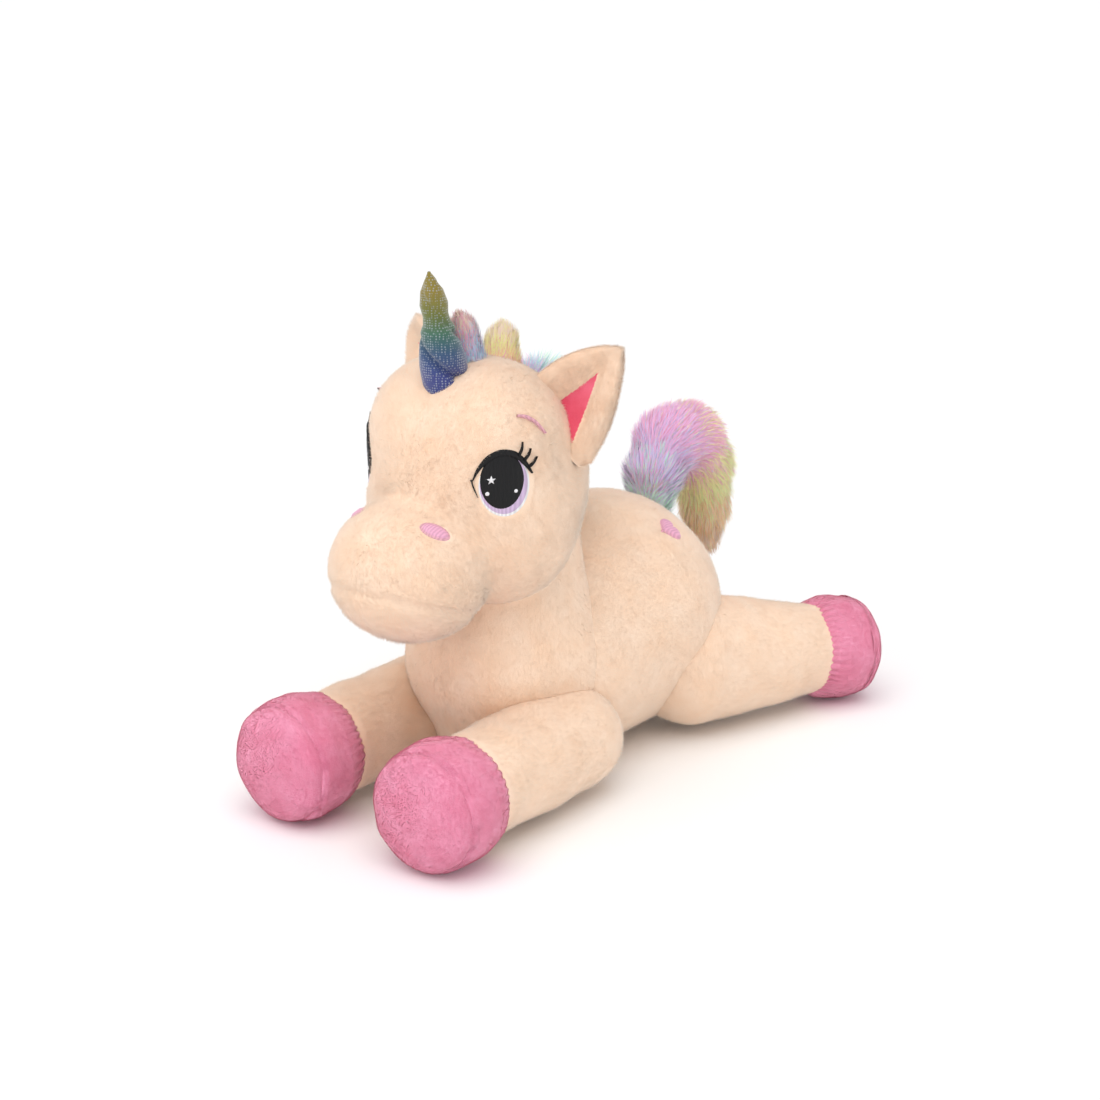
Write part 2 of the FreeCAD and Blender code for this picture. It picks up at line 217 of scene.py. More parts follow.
def surface(path, field, cap_rows, rings, columns, reach):
    """A closed skin round a path: rings cast outward from it until they meet the field's surface."""
    path = np.asarray(path, float)
    steps = np.linalg.norm(np.diff(path, axis=0), axis=1)
    travelled = np.concatenate([[0.0], np.cumsum(steps)])
    stations = np.linspace(0.0, travelled[-1], rings)
    bases = np.stack([np.interp(stations, travelled, path[:, k]) for k in range(3)], axis=1)
    tangents = unit(np.gradient(bases, axis=0))
    side = unit(np.cross(tangents[0], [0.21, 0.13, 0.97]))
    sides = []
    for tangent in tangents:
        side = unit(side - tangent * (side @ tangent))
        sides.append(side)
    sides = np.array(sides)
    ups = np.cross(tangents, sides)
    angles = np.arange(columns) * 2 * math.pi / columns
    rows = []
    for step in range(1, cap_rows):
        turn = math.pi / 2 * step / cap_rows
        rows.append((0, -math.cos(turn), math.sin(turn)))
    rows += [(ring, 0.0, 1.0) for ring in range(rings)]
    for step in range(cap_rows - 1, 0, -1):
        turn = math.pi / 2 * step / cap_rows
        rows.append((rings - 1, math.cos(turn), math.sin(turn)))
    starts, directions = [], []
    for ring, ahead, out in rows:
        around = np.cos(angles)[:, None] * sides[ring] + np.sin(angles)[:, None] * ups[ring]
        starts.append(np.repeat(bases[ring][None], columns, axis=0))
        directions.append(unit(around * out + tangents[ring] * ahead))
    starts.append(np.array([bases[0], bases[-1]]))
    directions.append(np.array([-tangents[0], tangents[-1]]))
    starts = np.concatenate(starts)
    directions = np.concatenate(directions)
    near = np.zeros(len(starts))
    far = np.full(len(starts), reach)
    for _ in range(26):
        middle = (near + far) / 2
        outside = field(starts + directions * middle[:, None]) > 0
        far = np.where(outside, middle, far)
        near = np.where(outside, near, middle)
    points = starts + directions * near[:, None]
    faces = ring_faces(len(rows), columns)
    first_tip, last_tip = len(rows) * columns, len(rows) * columns + 1
    last = (len(rows) - 1) * columns
    for column in range(columns):
        after = (column + 1) % columns
        faces.append((first_tip, after, column))
        faces.append((last_tip, last + column, last + after))
    return points, faces


def on_floor(points):
    """The points with those that would reach below the floor laid on it."""
    return np.column_stack([points[:, :2], np.maximum(points[:, 2], FLOOR_GAP)])


def new_piece(name, points, faces, materials, slots=None):
    """A smooth-shaded object from points in mm. slots gives each face's material."""
    mesh = bpy.data.meshes.new(name)
    mesh.from_pydata((on_floor(points) * MM).tolist(), [], faces)
    for material in materials:
        mesh.materials.append(material)
    if slots is not None:
        mesh.polygons.foreach_set("material_index", np.asarray(slots, dtype=np.int32))
    mesh.polygons.foreach_set("use_smooth", np.full(len(mesh.polygons), True))
    mesh.update()
    piece = bpy.data.objects.new(name, mesh)
    bpy.context.scene.collection.objects.link(piece)
    return piece


def mirrored(points, faces, side):
    if side > 0:
        return points, faces
    flipped = np.array(points) * [-1, 1, 1]
    return flipped, [tuple(reversed(face)) for face in faces]


def triangles(points, faces):
    corners = []
    for face in faces:
        corners.append(face[:3])
        if len(face) == 4:
            corners.append((face[0], face[2], face[3]))
    return np.asarray(corners)


def vertex_normals(points, corners):
    a, b, c = (points[corners[:, k]] for k in range(3))
    across = np.cross(b - a, c - a)
    normals = np.zeros_like(points)
    for k in range(3):
        np.add.at(normals, corners[:, k], across)
    return unit(normals)


def scattered(points, faces, count, seed, keep=None):
    """Random points spread evenly over a skin, with its normals there."""
    rng = np.random.default_rng(seed)
    corners = triangles(points, faces)
    normals = vertex_normals(points, corners)
    a, b, c = (points[corners[:, k]] for k in range(3))
    areas = np.linalg.norm(np.cross(b - a, c - a), axis=1)
    chosen = rng.choice(len(corners), size=count, p=areas / areas.sum())
    first, second = rng.random(len(chosen)), rng.random(len(chosen))
    over = first + second > 1
    first[over], second[over] = 1 - first[over], 1 - second[over]
    third = 1 - first - second
    weights = np.stack([third, first, second], axis=1)
    picked = corners[chosen]
    roots = sum(points[picked[:, k]] * weights[:, k : k + 1] for k in range(3))
    outward = unit(sum(normals[picked[:, k]] * weights[:, k : k + 1] for k in range(3)))
    if keep is not None:
        stays = keep(roots)
        roots, outward = roots[stays], outward[stays]
    return roots, outward


def blades(
    name, roots, outward, lean, lengths, widths, materials, slots, segments=1, droop=0.0, seed=0, sides=None
):
    """Fibres as thin tapering blades that leave the skin at their roots and bend towards lean.

    Their flat sides face outward, or the way that sides says.
    """
    sides = outward if sides is None else sides
    rng = np.random.default_rng(seed)
    count = len(roots)
    tangent_lean = lean - outward * np.sum(lean * outward, axis=1, keepdims=True)
    direction = unit(outward + tangent_lean)
    across = unit(np.cross(direction, sides + 0.3 * rng.normal(size=(count, 3))))
    facing = np.sign(np.sum(np.cross(across, direction) * sides, axis=1))
    across = across * facing[:, None]
    levels = []
    centre = roots - outward * 0.6
    bend = tangent_lean * (0.6 / segments) + np.array([0.0, 0.0, -droop / segments])
    for level in range(segments):
        share = 1.0 - 0.75 * level / segments
        half = across * (widths * share / 2)[:, None]
        levels.append(centre - half)
        levels.append(centre + half)
        centre = centre + direction * (lengths / segments)[:, None]
        direction = unit(direction + bend)
    levels.append(centre)
    points = np.stack(levels, axis=1).reshape(-1, 3)
    per = 2 * segments + 1
    starts = np.arange(count)[:, None] * per
    pattern = []
    for level in range(segments - 1):
        low = 2 * level
        pattern += [(low, low + 1, low + 3), (low, low + 3, low + 2)]
    top = 2 * (segments - 1)
    pattern.append((top, top + 1, top + 2))
    pattern = np.array(pattern)
    corners = (starts[:, :, None] + pattern[None]).reshape(-1, 3)
    mesh = bpy.data.meshes.new(name)
    mesh.vertices.add(len(points))
    mesh.vertices.foreach_set("co", (on_floor(points) * MM).astype(np.float32).ravel())
    mesh.loops.add(len(corners) * 3)
    mesh.loops.foreach_set("vertex_index", corners.astype(np.int32).ravel())
    mesh.polygons.add(len(corners))
    mesh.polygons.foreach_set("loop_start", np.arange(len(corners), dtype=np.int32) * 3)
    for material in materials:
        mesh.materials.append(material)
    each = np.repeat(np.asarray(slots, dtype=np.int32), len(pattern))
    mesh.polygons.foreach_set("material_index", each)
    mesh.update(calc_edges=True)
    shade = np.repeat(sides, per, axis=0)
    mesh.normals_split_custom_set_from_vertices(shade.astype(np.float32))
    piece = bpy.data.objects.new(name, mesh)
    bpy.context.scene.collection.objects.link(piece)
    return piece


# -------- materials


def set_inputs(node, **values):
    """Sets a node's input sockets. In their names here, _ stands for a space."""
    for name, value in values.items():
        node.inputs[name.replace("_", " ")].default_value = value


def added(tree, kind, **values):
    node = tree.nodes.new("ShaderNode" + kind)
    set_inputs(node, **values)
    return node


def wire(tree, *links):
    """Links nodes. Each link is a node, its output, the next node and the input there."""
    for start, output, end, socket in links:
        tree.links.new(start.outputs[output], end.inputs[socket])


def colour_ramp(tree, *stops):
    """A ramp through stops, each a position and a colour."""
    ramp = added(tree, "ValToRGB")
    elements = ramp.color_ramp.elements
    for element, (position, colour) in zip(elements, (stops[0], stops[-1])):
        element.position = position
        element.color = (*colour, 1.0)
    for position, colour in stops[1:-1]:
        elements.new(position).color = (*colour, 1.0)
    return ramp


def principled(name):
    material = bpy.data.materials.new(name)
    material.use_nodes = True
    tree = material.node_tree
    return material, tree, tree.nodes["Principled BSDF"]


def pile_material(name, colour, sheen=0.6):
    """One colour of fibre. The fibres themselves are the pattern."""
    material, _, shader = principled(name)
    set_inputs(shader, Base_Color=(*colour, 1.0), Roughness=0.85, Specular_IOR_Level=0.15)
    set_inputs(shader, Sheen_Weight=sheen, Sheen_Roughness=0.5, Sheen_Tint=(1.0, 0.95, 0.9, 1.0))
    return material


def cloth_material(name, dark, light):
    """The knitted backing under a pile, with soft colour changes over it."""
    material, tree, shader = principled(name)
    place = added(tree, "TexCoord")
    broad = added(tree, "TexNoise", Scale=45.0, Detail=4.0)
    ramp = colour_ramp(tree, (0.35, dark), (0.68, light))
    knit = added(tree, "TexNoise", Scale=1400.0)
    relief = added(tree, "Bump", Strength=0.35, Distance=0.0008)
    wire(
        tree,
        (place, "Object", broad, "Vector"),
        (place, "Object", knit, "Vector"),
        (broad, "Fac", ramp, "Fac"),
        (ramp, "Color", shader, "Base Color"),
        (knit, "Fac", relief, "Height"),
        (relief, "Normal", shader, "Normal"),
    )
    set_inputs(shader, Roughness=0.9, Sheen_Weight=0.3)
    return material


def thread_material(name, colour, roughness=0.4):
    """Satin stitch: fine parallel threads, as a wave that runs across the stitches. The colour is darkened in
    the grooves between the threads, a painted shade.
    """
    material, tree, shader = principled(name)
    place = added(tree, "TexCoord")
    mapping = added(tree, "Mapping", Rotation=(1.0, 0.0, 0.0))
    wave = added(tree, "TexWave", Scale=math.pi / 10.0 / (THREAD_PITCH * MM), Distortion=0.6, Detail=1.0)
    # painted shade: the thread colour darkened by a fifth in the grooves, where the wave's bump is low
    dark = tuple(channel * 0.8 for channel in colour)
    ramp = colour_ramp(tree, (0.0, dark), (1.0, colour))
    relief = added(tree, "Bump", Strength=0.6, Distance=0.0004)
    wire(
        tree,
        (place, "Object", mapping, "Vector"),
        (mapping, "Vector", wave, "Vector"),
        (wave, "Fac", ramp, "Fac"),
        (ramp, "Color", shader, "Base Color"),
        (wave, "Fac", relief, "Height"),
        (relief, "Normal", shader, "Normal"),
    )
    set_inputs(shader, Roughness=roughness, Specular_IOR_Level=0.3)
    return material


def horn_material():
    """Dot-mesh cloth that fades from blue at the base to gold at the tip."""
    material, tree, shader = principled("horn_mesh_cloth")
    place = added(tree, "TexCoord")
    split = added(tree, "SeparateXYZ")
    foot, tip = HORN_ROOT[2] * MM, (HORN_ROOT[2] + 92.0) * MM
    height = added(tree, "MapRange", From_Min=foot, From_Max=tip)
    ramp = colour_ramp(
        tree,
        (0.24, (0.022, 0.036, 0.20)),
        (0.42, (0.012, 0.062, 0.16)),
        (0.58, (0.03, 0.12, 0.07)),
        (0.72, (0.13, 0.15, 0.012)),
        (0.90, (0.23, 0.17, 0.01)),
    )
    dots = added(tree, "TexVoronoi", Scale=560.0, Randomness=0.25)
    spots = added(tree, "MapRange", From_Min=0.18, From_Max=0.42, To_Min=1.0, To_Max=0.0)
    share = added(tree, "Math")
    share.operation = "MULTIPLY"
    share.inputs[1].default_value = 0.5
    lighten = added(tree, "Mix")
    lighten.data_type = "RGBA"
    lighten.inputs["B"].default_value = (0.52, 0.58, 0.66, 1.0)
    relief = added(tree, "Bump", Strength=0.7, Distance=0.0005)
    wire(
        tree,
        (place, "Object", split, "Vector"),
        (split, "Z", height, "Value"),
        (height, "Result", ramp, "Fac"),
        (place, "Object", dots, "Vector"),
        (dots, "Distance", spots, "Value"),
        (spots, "Result", share, 0),
        (share, "Value", lighten, "Factor"),
        (ramp, "Color", lighten, "A"),
        (lighten, "Result", shader, "Base Color"),
        (spots, "Result", relief, "Height"),
        (relief, "Normal", shader, "Normal"),
    )
    set_inputs(shader, Roughness=0.45, Sheen_Weight=0.4)
    return material


THREAD_PITCH = 1.8  # from one thread of the embroidery to the next
CREAM_CLOTH = cloth_material("cream_backing", (0.95, 0.69, 0.50), (0.97, 0.75, 0.58))
PINK_CLOTH = cloth_material("pink_backing", (0.82, 0.26, 0.40), (0.90, 0.36, 0.52))
CORAL_CLOTH = cloth_material("coral_backing", (0.80, 0.08, 0.15), (0.92, 0.16, 0.26))
HORN_CLOTH = horn_material()
CREAM_PILE = [
    pile_material("cream_pile_light", (0.95, 0.76, 0.60)),
    pile_material("cream_pile", (0.945, 0.735, 0.565)),
    pile_material("cream_pile_warm", (0.94, 0.705, 0.525)),
]
PINK_PILE = [
    pile_material("pink_pile_light", (0.90, 0.36, 0.52)),
    pile_material("pink_pile", (0.86, 0.29, 0.45)),
    pile_material("pink_pile_deep", (0.81, 0.23, 0.38)),
]
CORAL_PILE = [
    pile_material("coral_pile_light", (0.96, 0.22, 0.34)),
    pile_material("coral_pile", (0.90, 0.13, 0.23)),
]
RAINBOW = {
    "rose": (0.97, 0.50, 0.68),
    "orchid": (0.94, 0.58, 0.88),
    "lavender": (0.74, 0.68, 0.94),
    "sky": (0.58, 0.84, 0.97),
    "mint": (0.66, 0.94, 0.80),
    "lemon": (0.98, 0.93, 0.48),
    "lime": (0.86, 0.94, 0.50),
    "apricot": (0.98, 0.70, 0.44),
    "peach": (0.98, 0.82, 0.69),
}
RAINBOW_NAMES = list(RAINBOW)
RAINBOW_PILE = [pile_material("pile_" + name, colour, 0.4) for name, colour in RAINBOW.items()]
BLACK_THREAD = thread_material("black_thread", (0.004, 0.004, 0.005), roughness=0.5)
WHITE_THREAD = thread_material("white_thread", (0.92, 0.91, 0.93))
LAVENDER_THREAD = thread_material("lavender_thread", (0.66, 0.50, 0.72))
MAUVE_THREAD = thread_material("mauve_thread", (0.80, 0.42, 0.50))
PINK_THREAD = thread_material("pink_thread", (0.88, 0.45, 0.62))


# -------- pile on the skins


def nap_backwards(roots, outward):
    lean = np.zeros_like(roots)
    lean[:, 1] = 1.0
    lean[:, 2] = -0.35
    return lean


def short_pile(name, skin, count, materials, seed, nap, keep=None, length=PILE_LENGTH, width=PILE_WIDTH):
    """Short fibres over a skin where keep says so. nap gives the way that they lie."""
    points, faces = skin
    roots, outward = scattered(points, faces, count, seed, keep)
    rng = np.random.default_rng(seed + 1)
    lean = nap(roots, outward)
    lean += wave_vectors(roots, 18.0, seed + 2) * 0.12 + wave_vectors(roots, 48.0, seed + 5) * 0.2
    lean += rng.normal(size=roots.shape) * 0.15
    lean *= np.where(rng.random(len(roots)) < STANDING, 1.0, FLAT_LEAN)[:, None]
    lengths = length * rng.uniform(0.7, 1.15, len(roots))
    widths = width * rng.uniform(0.7, 1.2, len(roots))
    tone = waves(roots, 26.0, seed + 9) * 0.5 + rng.normal(size=len(roots)) * 0.45
    slots = np.clip(np.floor((tone + 1.0) * len(materials) / 2), 0, len(materials) - 1)
    return blades(name, roots, outward, lean, lengths, widths, materials, slots, seed=seed)


def placed(piece, body, *nodes, slot, fill=None):
    """Hangs a piece on the body it rides on and hides the CAD nodes that it stands for. slot, for its finish,
    and fill, for how full it is, are not used.
    """
    if body:
        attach(piece, body)
    if nodes:
        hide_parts(*nodes)


# -------- trunk, chest and neck

trunk_path = [BELLY, RUMP - [0.0, 0.0, 2.0]]
trunk = surface(trunk_path, trunk_field, cap_rows=26, rings=26, columns=96, reach=150.0)
trunk_skin = new_piece("trunk_skin", *trunk, [CREAM_CLOTH])
placed(
    trunk_skin, "trunk", "trunk_panel_left", "trunk_panel_right", "belly_panel", "trunk_stuffing",
    slot="cream_plush", fill=0.85,
)

FLANK_SPOT = RUMP + unit(np.array([0.60, 0.10, 0.79])) * RUMP_RADIUS
FLANK_BARE = 9.0  # the pile is shaved off this far round the middle of the flank's mark


def trunk_shows(points):
    mirror = left_half(points)
    return (
        (np.linalg.norm(mirror - FLANK_SPOT, axis=1) > FLANK_BARE)
        & (chest_field(points) > -3.0)
        & (front_leg_field(mirror) > -3.0)
        & (hind_leg_field(mirror) > -3.0)
        & (points[:, 2] > 0.6)
    )


trunk_pile = short_pile(
    "trunk_pile", trunk, 170000, CREAM_PILE, 100, nap_backwards, trunk_shows
)
placed(trunk_pile, "trunk", slot="cream_plush")

chest_path = [(0, NECK_LOW[1], 62), (0, NECK_LOW[1] - 4.0, 105), tuple(NECK_TOP)]
chest = surface(chest_path, chest_field, cap_rows=18, rings=30, columns=88, reach=120.0)
chest_skin = new_piece("chest_skin", *chest, [CREAM_CLOTH])
placed(chest_skin, None, "neck_cover", "neck_stuffing", slot="cream_plush", fill=0.8)


def nap_down(roots, outward):
    lean = np.zeros_like(roots)
    lean[:, 2] = -1.0
    return lean


def chest_shows(points):
    mirror = left_half(points)
    return (
        (trunk_field(points) > 0.5) & (head_field(points) > 1.5) & (front_leg_field(mirror) > -3.0)
    )


chest_pile = short_pile("chest_pile", chest, 110000, CREAM_PILE, 130, nap_down, chest_shows)
placed(chest_pile, None, slot="cream_plush")
for piece in (chest_skin, chest_pile):
    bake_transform(piece)

# -------- head

head_path = [SKULL, SKULL + (MUZZLE - SKULL) * 0.9]
head = surface(head_path, head_field, cap_rows=34, rings=40, columns=132, reach=140.0)
head_skin = new_piece("head_skin", *head, [CREAM_CLOTH])
placed(
    head_skin, "head", "head_panel_left", "head_panel_right", "head_gusset", "muzzle_panel",
    "head_stuffing", slot="cream_plush", fill=0.95,
)

EYE_AIM = unit(np.array([0.812, -0.556, 0.178]))
EYE_SPOT = np.array([59.8, -170.0, 260.5])
NOSTRIL_AIM = unit(np.array([0.69, -0.26, 0.72]))
NOSTRIL_ANGLE = math.radians(-38.0)


CAST_FROM = 160.0  # how far out the rays that place the stitches start


class StitchFrame:
    """A flat drawing, x to the right and y up in mm, laid on the head by rays along one line."""

    def __init__(self, centre, aim, side, field, turn=0.0):
        self.side = side
        self.field = field
        self.centre = centre
        self.aim = aim
        right = unit(np.cross([0.0, 0.0, 1.0], aim))
        up = np.cross(aim, right)
        self.right = right * math.cos(turn) + up * math.sin(turn)
        self.up = up * math.cos(turn) - right * math.sin(turn)

    def place(self, flat, height):
        """Points of the drawing on the skin, raised from it by height."""
        flat = np.asarray(flat, float)
        origin = self.centre + self.aim * CAST_FROM
        points = origin + flat[:, :1] * self.right + flat[:, 1:] * self.up
        for _ in range(60):
            points = points - self.aim * (self.field(points) * 0.8)[:, None]
        nudges = np.eye(3) * 0.5
        slopes = [self.field(points + nudge) - self.field(points - nudge) for nudge in nudges]
        points = points + unit(np.stack(slopes, axis=1)) * np.asarray(height, float)[:, None]
        points[:, 0] *= self.side
        return points


def inside(flat, centre, half_width, half_height):
    """Whether points of a drawing are inside an oval."""
    across = (flat[:, 0] - centre[0]) / half_width
    up = (flat[:, 1] - centre[1]) / half_height
    return across**2 + up**2 < 1.0


def drawn_at(points, stitch):
    """Where points on the left half of the head fall in a stitch frame's drawing."""
    mirror = left_half(points)
    offset = mirror - stitch.centre
    flat = np.stack([offset @ stitch.right, offset @ stitch.up], axis=1)
    return flat, offset @ stitch.aim > 20.0


EYE_BASE = EYE_SPOT - EYE_AIM * 60.0
LEFT_EYE = StitchFrame(EYE_BASE, EYE_AIM, 1.0, head_field)
LEFT_NOSTRIL = StitchFrame(MUZZLE, NOSTRIL_AIM, 1.0, head_field, NOSTRIL_ANGLE)


def head_shows(points):
    eye, eye_side = drawn_at(points, LEFT_EYE)
    nostril, nostril_side = drawn_at(points, LEFT_NOSTRIL)
    covered = eye_side & inside(eye, (0.5, -1.0), 21.0, 24.0)
    covered |= nostril_side & inside(nostril, (0.0, 0.0), 12.0, 6.4)
    return ~covered & (chest_field(points) > -3.0)


def nap_head(roots, outward):
    return unit(unit(roots - np.array([0.0, -245.0, 225.0])) + [0.0, 0.0, -0.45])


head_pile = short_pile("head_pile", head, 190000, CREAM_PILE, 160, nap_head, head_shows)
placed(head_pile, "head", slot="cream_plush")

# -------- embroidery


def stitched_shape(stitch, outline, height, rings=9, sink=1.2):
    """A padded patch inside a star-shaped outline. outline gives the edge's (x, y) by angle."""
    columns = len(outline)
    outline = np.asarray(outline, float)
    middle = outline.mean(axis=0)
    flat, heights = [middle], [height]
    for ring in range(1, rings + 1):
        share = ring / rings
        for corner in outline:
            flat.append(middle + (corner - middle) * share)
            heights.append(height * (1.0 - share**5) - (sink if ring == rings else 0.0))
    points = stitch.place(np.array(flat), heights)
    faces = []
    for column in range(columns):
        after = (column + 1) % columns
        faces.append((0, 1 + column, 1 + after))
        for ring in range(rings - 1):
            low = 1 + ring * columns
            high = low + columns
            faces.append((low + column, high + column, high + after, low + after))
    if stitch.side < 0:
        faces = [tuple(reversed(face)) for face in faces]
    return points, faces


def oval(centre, half_width, half_height, columns=48):
    angles = np.arange(columns) * 2 * math.pi / columns
    return np.stack(
        [centre[0] + half_width * np.cos(angles), centre[1] + half_height * np.sin(angles)], axis=1
    )


def star(centre, reach, waist, points=5):
    corners = []
    for step in range(points * 2):
        angle = math.pi / 2 + step * math.pi / points
        radius = reach if step % 2 == 0 else waist
        corners.append((centre[0] + radius * math.cos(angle), centre[1] + radius * math.sin(angle)))
    return np.array(corners)


def stitched_line(stitch, line, widths, height, across=7, sink=1.2):
    """A raised line of satin stitch along points (x, y), as wide as widths says."""
    line = np.asarray(line, float)
    widths = np.asarray(widths, float)
    share = np.linspace(0, len(line) - 1, 5 * (len(line) - 1) + 1)
    smooth = np.stack([np.interp(share, np.arange(len(line)), line[:, k]) for k in range(2)], axis=1)
    for _ in range(4):
        smooth[1:-1] = (smooth[:-2] + 2 * smooth[1:-1] + smooth[2:]) / 4
    width = np.interp(share, np.arange(len(line)), widths)
    along = unit(np.gradient(smooth, axis=0))
    side = np.stack([-along[:, 1], along[:, 0]], axis=1)
    flat, heights = [], []
    for step in range(across):
        offset = 2.0 * step / (across - 1) - 1.0
        flat.append(smooth + side * (offset * width / 2)[:, None])
        edge = abs(offset) == 1.0
        profile = np.sqrt(max(0.0, 1.0 - offset**2))
        heights.append(np.full(len(smooth), height * profile - (sink if edge else 0.0)))
    points = stitch.place(np.concatenate(flat), np.concatenate(heights))
    count = len(smooth)
    faces = []
    for step in range(across - 1):
        for spot in range(count - 1):
            low = step * count + spot
            face = (low, low + 1, low + count + 1, low + count)
            faces.append(face if stitch.side < 0 else tuple(reversed(face)))
    return points, faces


def joined(parts):
    """Several skins as one."""
    points, faces = [], []
    total = 0
    for part_points, part_faces in parts:
        points.append(part_points)
        faces += [tuple(index + total for index in face) for face in part_faces]
        total += len(part_points)
    return np.concatenate(points), faces


def welded(points, faces):
    """The same skin with points that lie in one place made one, so that it shades smoothly across."""
    _, first, where = np.unique(np.round(points, 3), axis=0, return_index=True, return_inverse=True)
    where = where.ravel()
    merged = [tuple(dict.fromkeys(int(where[index]) for index in face)) for face in faces]
    return points[first], [face for face in merged if len(face) >= 3]


LID = [(-21.0, 2.0), (-17.6, 9.6), (-11.0, 17.4), (-2.0, 21.2), (8.0, 19.6), (15.4, 13.2), (21.5, 4.5)]
LID_WIDTHS = [1.0, 3.2, 4.8, 5.4, 5.4, 5.0, 1.6]
LASHES = [
    [(11.0, 17.5), (13.8, 22.0), (14.2, 27.0)],
    [(15.0, 14.0), (18.6, 17.5), (20.2, 22.0)],
    [(18.4, 9.0), (22.2, 11.5), (25.0, 16.0)],
]
CORNER_LINE = [(-22.0, 3.0), (-20.0, -4.0), (-17.5, -10.0)]
CORNER_WIDTHS = [1.4, 1.2, 0.5]
BROW = [(12.0, 45.0), (19.0, 44.0), (26.0, 39.5), (33.0, 31.0)]
BROW_WIDTHS = [1.6, 2.6, 2.6, 1.0]

LASH_WIDTHS = [2.2, 1.7, 0.4]
EYE_LAYERS = [
    # piece, middle, half width, half height, how far it stands out, thread
    ("white", (1.2, -2.6), 20.4, 24.6, 0.3, WHITE_THREAD),
    ("rim", (0.9, -2.2), 19.2, 23.2, 0.6, LAVENDER_THREAD),
    ("pupil", (-0.4, 0.4), 17.4, 22.2, 1.0, BLACK_THREAD),
]

for name, side in SIDES.items():
    eye = StitchFrame(EYE_BASE, EYE_AIM, side, head_field)
    layers = {}
    for layer, middle, half_width, half_height, height, thread in EYE_LAYERS:
        shape = stitched_shape(eye, oval(middle, half_width, half_height), height)
        layers[layer] = new_piece(f"eye_{layer}_{name}", *shape, [thread])
    strokes = [stitched_line(eye, LID, LID_WIDTHS, 1.4)]
    strokes += [stitched_line(eye, line, LASH_WIDTHS, 2.6, sink=0.5) for line in LASHES]
    strokes.append(stitched_line(eye, CORNER_LINE, CORNER_WIDTHS, 1.3))
    lashes = new_piece("eye_lashes_" + name, *joined(strokes), [BLACK_THREAD])
    glints = [star((-8.6, 2.0), 4.6, 1.9), oval((-11.2, -7.6), 1.9, 1.9, 16), oval((8.8, -7.0), 1.8, 1.8, 16)]
    lights = joined([stitched_shape(eye, glint, 1.5, rings=3, sink=0.6) for glint in glints])
    highlights = new_piece("eye_highlights_" + name, *lights, [WHITE_THREAD])
    brow_line = stitched_line(eye, BROW, BROW_WIDTHS, 2.8, sink=1.0)
    brow = new_piece("brow_" + name, *brow_line, [MAUVE_THREAD])
    nose = StitchFrame(MUZZLE, NOSTRIL_AIM, side, head_field, NOSTRIL_ANGLE)
    nostril_patch = stitched_shape(nose, oval((0.0, 0.0), 10.6, 5.4), 1.7)
    nostril = new_piece("nostril_" + name, *nostril_patch, [PINK_THREAD])
    nostril_border = stitched_shape(nose, oval((0.0, 0.0), 12.3, 7.0), 0.9)
    nostril_edge = new_piece("nostril_edge_" + name, *nostril_border, [MAUVE_THREAD])
    placed(nostril_edge, "head", slot="pink_thread")
    placed(layers["pupil"], "head", "eye_embroidery_" + name, slot="dark_thread")
    placed(lashes, "head", slot="dark_thread")
    for piece in (layers["white"], layers["rim"], highlights):
        placed(piece, "head", slot="pink_thread")
    placed(brow, "head", "brow_embroidery_" + name, slot="pink_thread")
    placed(nostril, "head", "nostril_embroidery_" + name, slot="pink_thread")

# -------- legs and hooves


def hoof_profile(along, radius, length):
    """The hoof's radius from its seam to its flat sole."""
    stops = np.array([0.0, 0.05, 0.16, 0.34, 0.55, 0.76, 0.82, 0.90, 0.97, 1.0]) * length
    radii = np.array([0.80, 0.87, 0.94, 0.99, 1.0, 0.965, 0.94, 0.88, 0.76, 0.66]) * radius
    return np.interp(along, stops, radii)


def hoof_shape(root, aim, seam_at, radius, length, sole, seed):
    """The band or the sole of a hoof, as rings round the leg's line."""
    forward = unit(aim)
    right = unit(np.cross(forward, [0.0, 0.0, 1.0]))
    up = np.cross(right, forward)
    columns = 144
    angles = np.arange(columns) * 2 * math.pi / columns
    sole_at = 0.79 * length
    if sole:
        rows = np.concatenate([np.linspace(sole_at - 4.0, length * 0.97, 12), [length] * 14])
        shrink = np.concatenate([np.ones(12), np.linspace(0.97, 0.02, 14)])
    else:
        rows = np.concatenate([np.linspace(-6.0, sole_at + 0.5, 46), [sole_at + 1.0, sole_at - 3.0]])
        shrink = np.concatenate([np.ones(46), [0.93, 0.80]])
    points = []
    for along, share in zip(rows, shrink):
        base = hoof_profile(np.array([max(along, 0.0)]), radius, length)[0]
        spot = root + forward * (seam_at + along)
        ring = base * share * np.ones(columns)
        if not sole:
            gather = math.exp(-((max(along, 0.0) / 15.0) ** 2))
            phase = angles * 23 + 0.9 * np.sin(angles * 5 + seed)
            ring += gather * (2.4 * np.abs(np.sin(phase)) - 2.0) * (along > -3.0)
            ring -= 1.6 * math.exp(-((along / 2.5) ** 2))
            ring -= 0.8 * math.exp(-(((along - sole_at) / 2.0) ** 2))
        else:
            ring -= 0.8 * share * math.exp(-(((along - sole_at) / 2.0) ** 2))
            spot = spot + forward * 5.0 * (1.0 - share**2)
        circle = np.cos(angles)[:, None] * right + np.sin(angles)[:, None] * up
        points.append(spot + circle * ring[:, None])
    points = np.concatenate(points)
    soft = 0.8 * waves(points, 30.0, seed)
    outward = points - (root + np.outer((points - root) @ forward, forward))
    points = points + unit(outward) * soft[:, None]
    faces = []
    for row in range(len(rows) - 1):
        for column in range(columns):
            after = (column + 1) % columns
            low, high = row * columns, (row + 1) * columns
            faces.append((low + column, high + column, high + after, low + after))
    if sole:
        last = (len(rows) - 1) * columns
        faces.append(tuple(last + column for column in range(columns)))
    return points, [tuple(reversed(face)) for face in faces]


